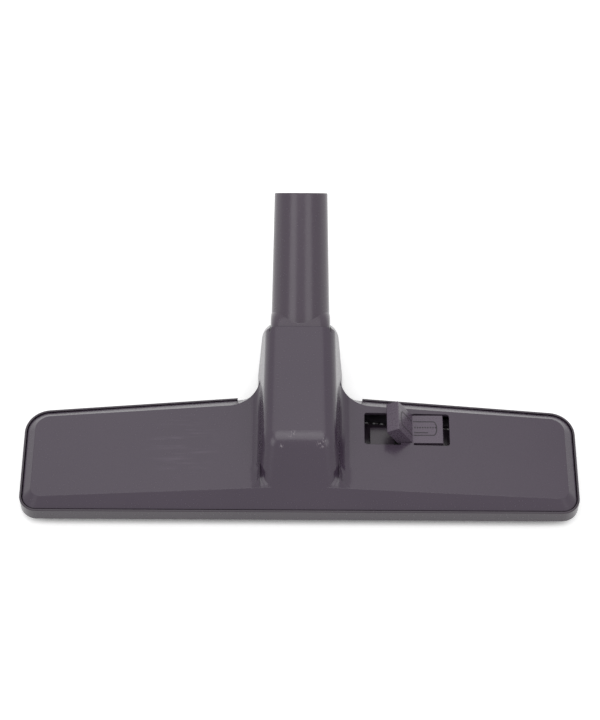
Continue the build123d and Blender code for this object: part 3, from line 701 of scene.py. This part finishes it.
def cross_screw(name, head_radius, head_low, head_high, shank_radius, tip):
    bpy.ops.object.select_all(action="DESELECT")
    bpy.ops.mesh.primitive_cylinder_add(vertices=24, radius=head_radius, depth=head_high - head_low,
                                        location=(0.0, 0.0, (head_low + head_high) / 2))
    screw = settle(name)
    edit(True)
    pick("EDGE", lambda e: all(v.co.z < head_low + TOUCHING for v in e.verts))
    bpy.ops.mesh.bevel(offset=head_edge, segments=2)
    pick("FACE", lambda f: f.normal.z > facing and f.calc_center_median().z > head_high - TOUCHING)
    bpy.ops.mesh.inset(thickness=head_radius - shank_radius)
    for share in (1 - point_share, point_share):
        upward = (0.0, 0.0, (tip - head_high) * share)
        bpy.ops.mesh.extrude_region_move(TRANSFORM_OT_translate={"value": upward})
    bpy.ops.transform.resize(value=(point_scale, point_scale, 1.0))
    edit(False)
    recess = head_radius * recess_share
    arm = recess * arm_share
    bpy.ops.object.select_all(action="DESELECT")
    bpy.ops.mesh.primitive_cube_add(size=2 * arm, location=(0.0, 0.0, head_low))
    cross = settle("cross")
    edit(True)
    for dx, dy in ((1, 0), (-1, 0), (0, 1), (0, -1)):
        pick("FACE", lambda f: f.normal.x * dx + f.normal.y * dy > facing and
             f.calc_center_median().dot(Vector((dx, dy, 0))) < arm + TOUCHING)
        reach = ((recess - arm) * dx, (recess - arm) * dy, 0.0)
        bpy.ops.mesh.extrude_region_move(TRANSFORM_OT_translate={"value": reach})
    edit(False)
    select_only(screw)
    cut = screw.modifiers.new("recess", "BOOLEAN")
    cut.operation = "DIFFERENCE"
    cut.object = cross
    bpy.ops.object.modifier_apply(modifier=cut.name)
    bpy.data.objects.remove(cross)
    bpy.ops.object.shade_smooth_by_angle(angle=smooth_up_to)
    return screw


print("sizes of a recess:", recess_share, "of the head,", arm_share, "of that for an arm")

# %% [markdown]
# Zinc plating is a thin bright layer, a little cloudy. The screws stand where the solids have them: the
# places along X repeat the CAD's, and those along Y are counted from the box of the group. Each screw is
# turned by an angle that follows from its place, because no two stop at the same turn.

# %% Zinc plated screws in place
zinc = brushed_steel("zinc_plated_steel", ("#a9aaad", "#c4c5c7"), 0.36, (1.0, 1.0, 0.3), 0.6)
turn_per_mm = 0.7
cover_head_radius, cover_head_height, cover_shank_radius = 3.2 * MM, 1.8 * MM, 1.6 * MM
glide_head_radius, glide_head_height, glide_shank_radius = 2.6 * MM, 0.9 * MM, 1.2 * MM


def screw_group(screw, node, name, columns, rows):
    twins = [own_copy(screw, "screw", (x, y, 0.0), turn_per_mm * x / MM) for x, y in zip(columns, rows)]
    hand_over(join(twins, name), zinc, "head", "screw_steel", node)
    bpy.data.objects.remove(screw)


low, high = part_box("cover_screws")
cover_screw = cross_screw("cover_screw", cover_head_radius, low.z, low.z + cover_head_height,
                          cover_shank_radius, high.z)
columns = [x * MM for x in (-177, -112, -36, 36, 112, 177)]
rows = [low.y + cover_head_radius + y * MM for y in (0, 9, 13, 13, 9, 0)]
screw_group(cover_screw, "cover_screws", "cover_screw_group", columns, rows)
low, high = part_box("glide_screws")
glide_screw = cross_screw("glide_screw", glide_head_radius, low.z, low.z + glide_head_height,
                          glide_shank_radius, high.z)
columns = [x * MM for x in (-150, 0, 150, -150, 0, 150)]
rows = [low.y + glide_head_radius] * 3 + [high.y - glide_head_radius] * 3
screw_group(glide_screw, "glide_screws", "sole_screw_group", columns, rows)

# %% [markdown]
# The pedal's right plate carries a raised sign: a rounded nozzle outline, a row of dots for bristles
# and a short line. It says which way to press for hard floors. A font or a picture isn't needed: the
# outline is half a squashed circle with two legs, and an inset leaves the line. Solidify gives all of
# it a height of 0.12 mm later, half of it sunk into the plate.

# %% Nozzle outline
plate_top = 26.21 * MM
plate_start = 77.5 * MM
sign_y = -47.24 * MM
sign_half = 5.9 * MM
leg_start = 78.0 * MM
leg_end = 91.7 * MM
nose_length = 2.8 * MM
line_width = 0.75 * MM
sign_height = 0.12 * MM
nose_middle = (leg_end, sign_y, plate_top)
bpy.ops.object.select_all(action="DESELECT")
bpy.ops.mesh.primitive_circle_add(vertices=40, radius=sign_half, fill_type="NGON", location=nose_middle)
outline = settle("outline")
edit(True)
bpy.ops.mesh.select_all(action="SELECT")
bpy.ops.transform.resize(value=(nose_length / sign_half, 1.0, 1.0), center_override=nose_middle)
bpy.ops.mesh.bisect(plane_co=nose_middle, plane_no=(1.0, 0.0, 0.0), clear_inner=True)
pick("EDGE", lambda e: all(v.co.x < leg_end + TOUCHING for v in e.verts))
leg_run = (leg_start - leg_end - line_width, 0.0, 0.0)
bpy.ops.mesh.extrude_region_move(TRANSFORM_OT_translate={"value": leg_run})
pick("EDGE", lambda e: all(abs(v.co.x - leg_end) < TOUCHING for v in e.verts))
bpy.ops.mesh.dissolve_edges()
bpy.ops.mesh.select_all(action="SELECT")
bpy.ops.mesh.inset(thickness=line_width)
bpy.ops.mesh.delete(type="FACE")
bpy.ops.mesh.select_all(action="SELECT")
bpy.ops.mesh.bisect(plane_co=(leg_start, sign_y, plate_top), plane_no=(1.0, 0.0, 0.0), clear_inner=True)
edit(False)
print("outline faces:", len(outline.data.polygons))

# %% [markdown]
# Inside the outline lie the dots and the line. One dot is a small disc with an inset rim, and an Array
# repeats it. The line is a plane with rounded corners.

# %% Dots and line
dot_count = 9
dot_step = 1.775 * MM
dot_radius, dot_rim = 0.6 * MM, 0.12 * MM
first_dot_x, dots_above = 79.2 * MM, 0.8 * MM
dash_x, dash_below = 83.35 * MM, 3.4 * MM
dash_length, dash_corner = 9.7 * MM, 0.2 * MM
bpy.ops.object.select_all(action="DESELECT")
bpy.ops.mesh.primitive_circle_add(vertices=10, radius=dot_radius, fill_type="NGON",
                                  location=(first_dot_x, sign_y + dots_above, plate_top))
dots = settle("dots")
edit(True)
bpy.ops.mesh.select_all(action="SELECT")
bpy.ops.mesh.inset(thickness=dot_rim)
edit(False)
repeat(dots, dot_count, (dot_step, 0.0, 0.0))
bpy.ops.object.select_all(action="DESELECT")
bpy.ops.mesh.primitive_plane_add(size=1.0, location=(dash_x, sign_y - dash_below, plate_top))
dash = settle("dash", (dash_length, line_width, 1.0))
edit(True)
bpy.ops.mesh.select_all(action="SELECT")
bpy.ops.mesh.bevel(offset=dash_corner, segments=3, affect="VERTICES")
edit(False)
print("dots:", dot_count)

# %% [markdown]
# The left arm carries the outline alone. It is a mirrored copy, turned by 60 degrees about the edge
# where both arms meet. Mirroring turns faces inside out, so the normals are recalculated before
# Solidify gives the sheet its height.

# %% Signs on both arms
# The sign's near black colour is painted shade: it stands in for the shadow that fills the sign's grooves.
groove_shade_plastic = satin_plastic("sign_painted_groove_shade", "#1d181f", "#241e26", 0.5, 0.05)
arm_turn = radians(60)
meeting_edge = Vector((plate_start, 0.0, plate_top))
left_outline = own_copy(outline, "left_outline")
left_outline.matrix_world = (Matrix.Translation(meeting_edge) @ Matrix.Rotation(arm_turn, 4, "Y")
                             @ Matrix.Scale(-1.0, 4, (1.0, 0.0, 0.0)) @ Matrix.Translation(-meeting_edge))
for piece, name in ((join([outline, dots, dash], "right"), "pedal_sign_right"),
                    (join([left_outline], "left"), "pedal_sign_left")):
    select_only(piece)
    edit(True)
    bpy.ops.mesh.select_all(action="SELECT")
    bpy.ops.mesh.normals_make_consistent(inside=False)
    edit(False)
    wall = piece.modifiers.new("height", "SOLIDIFY")
    wall.thickness = sign_height
    wall.offset = 0.0
    bpy.ops.object.modifier_apply(modifier=wall.name)
    hand_over(settle(name), groove_shade_plastic, "pedal", "pedal_plastic")

# %% [markdown]
# Where the hood's rounded front edge meets the soft strip along its foot, the solids leave a small open
# notch on each side. A mould would fill it. A fine grid is laid over the place and dropped straight down
# on the cover. Smoothing its heights then lifts it out of the notch, and it fades into the cover at its
# border. It sits a hair below the plastic, so only the filled hollow shows.

# %% Soft corners at the hood's foot
corner_middle = (26 * MM, -92 * MM)
corner_reach = 13 * MM
corner_sink = 0.03 * MM
corner_skin = 0.6 * MM
corner_steps = 66
corner_rounds = 200
border_gain = 3
above_hood = 70 * MM
skin_smooth_up_to = radians(40)


def hood_corner(name, side):
    bpy.ops.object.select_all(action="DESELECT")
    bpy.ops.mesh.primitive_grid_add(x_subdivisions=corner_steps, y_subdivisions=corner_steps, size=1.0,
                                    location=(side * corner_middle[0], corner_middle[1], above_hood))
    patch = settle(name, (2 * corner_reach, 2 * corner_reach, 1.0))
    fade = patch.vertex_groups.new(name="fade")
    for point in patch.data.vertices:
        away = max(abs(point.co.x - side * corner_middle[0]), abs(point.co.y - corner_middle[1]))
        fade.add([point.index], min(1.0, border_gain * (1 - away / corner_reach)), "REPLACE")
    drop = patch.modifiers.new("drop", "SHRINKWRAP")
    drop.target = nodes["top_cover"]
    drop.wrap_method = "PROJECT"
    drop.use_project_z = True
    drop.use_positive_direction = False
    drop.use_negative_direction = True
    soften = patch.modifiers.new("soften", "SMOOTH")
    soften.factor = 0.5
    soften.iterations = corner_rounds
    soften.use_x = soften.use_y = False
    soften.vertex_group = "fade"
    skin = patch.modifiers.new("skin", "SOLIDIFY")
    skin.thickness = corner_skin
    for step in ("drop", "soften", "skin"):
        bpy.ops.object.modifier_apply(modifier=step)
    edit(True)
    bpy.ops.mesh.select_all(action="SELECT")
    bpy.ops.transform.translate(value=(0.0, 0.0, -corner_sink))
    edit(False)
    bpy.ops.object.shade_smooth_by_angle(angle=skin_smooth_up_to)
    hand_over(patch, cover_plastic, "head", "dark_plastic")


hood_corner("right_hood_corner", 1)
hood_corner("left_hood_corner", -1)
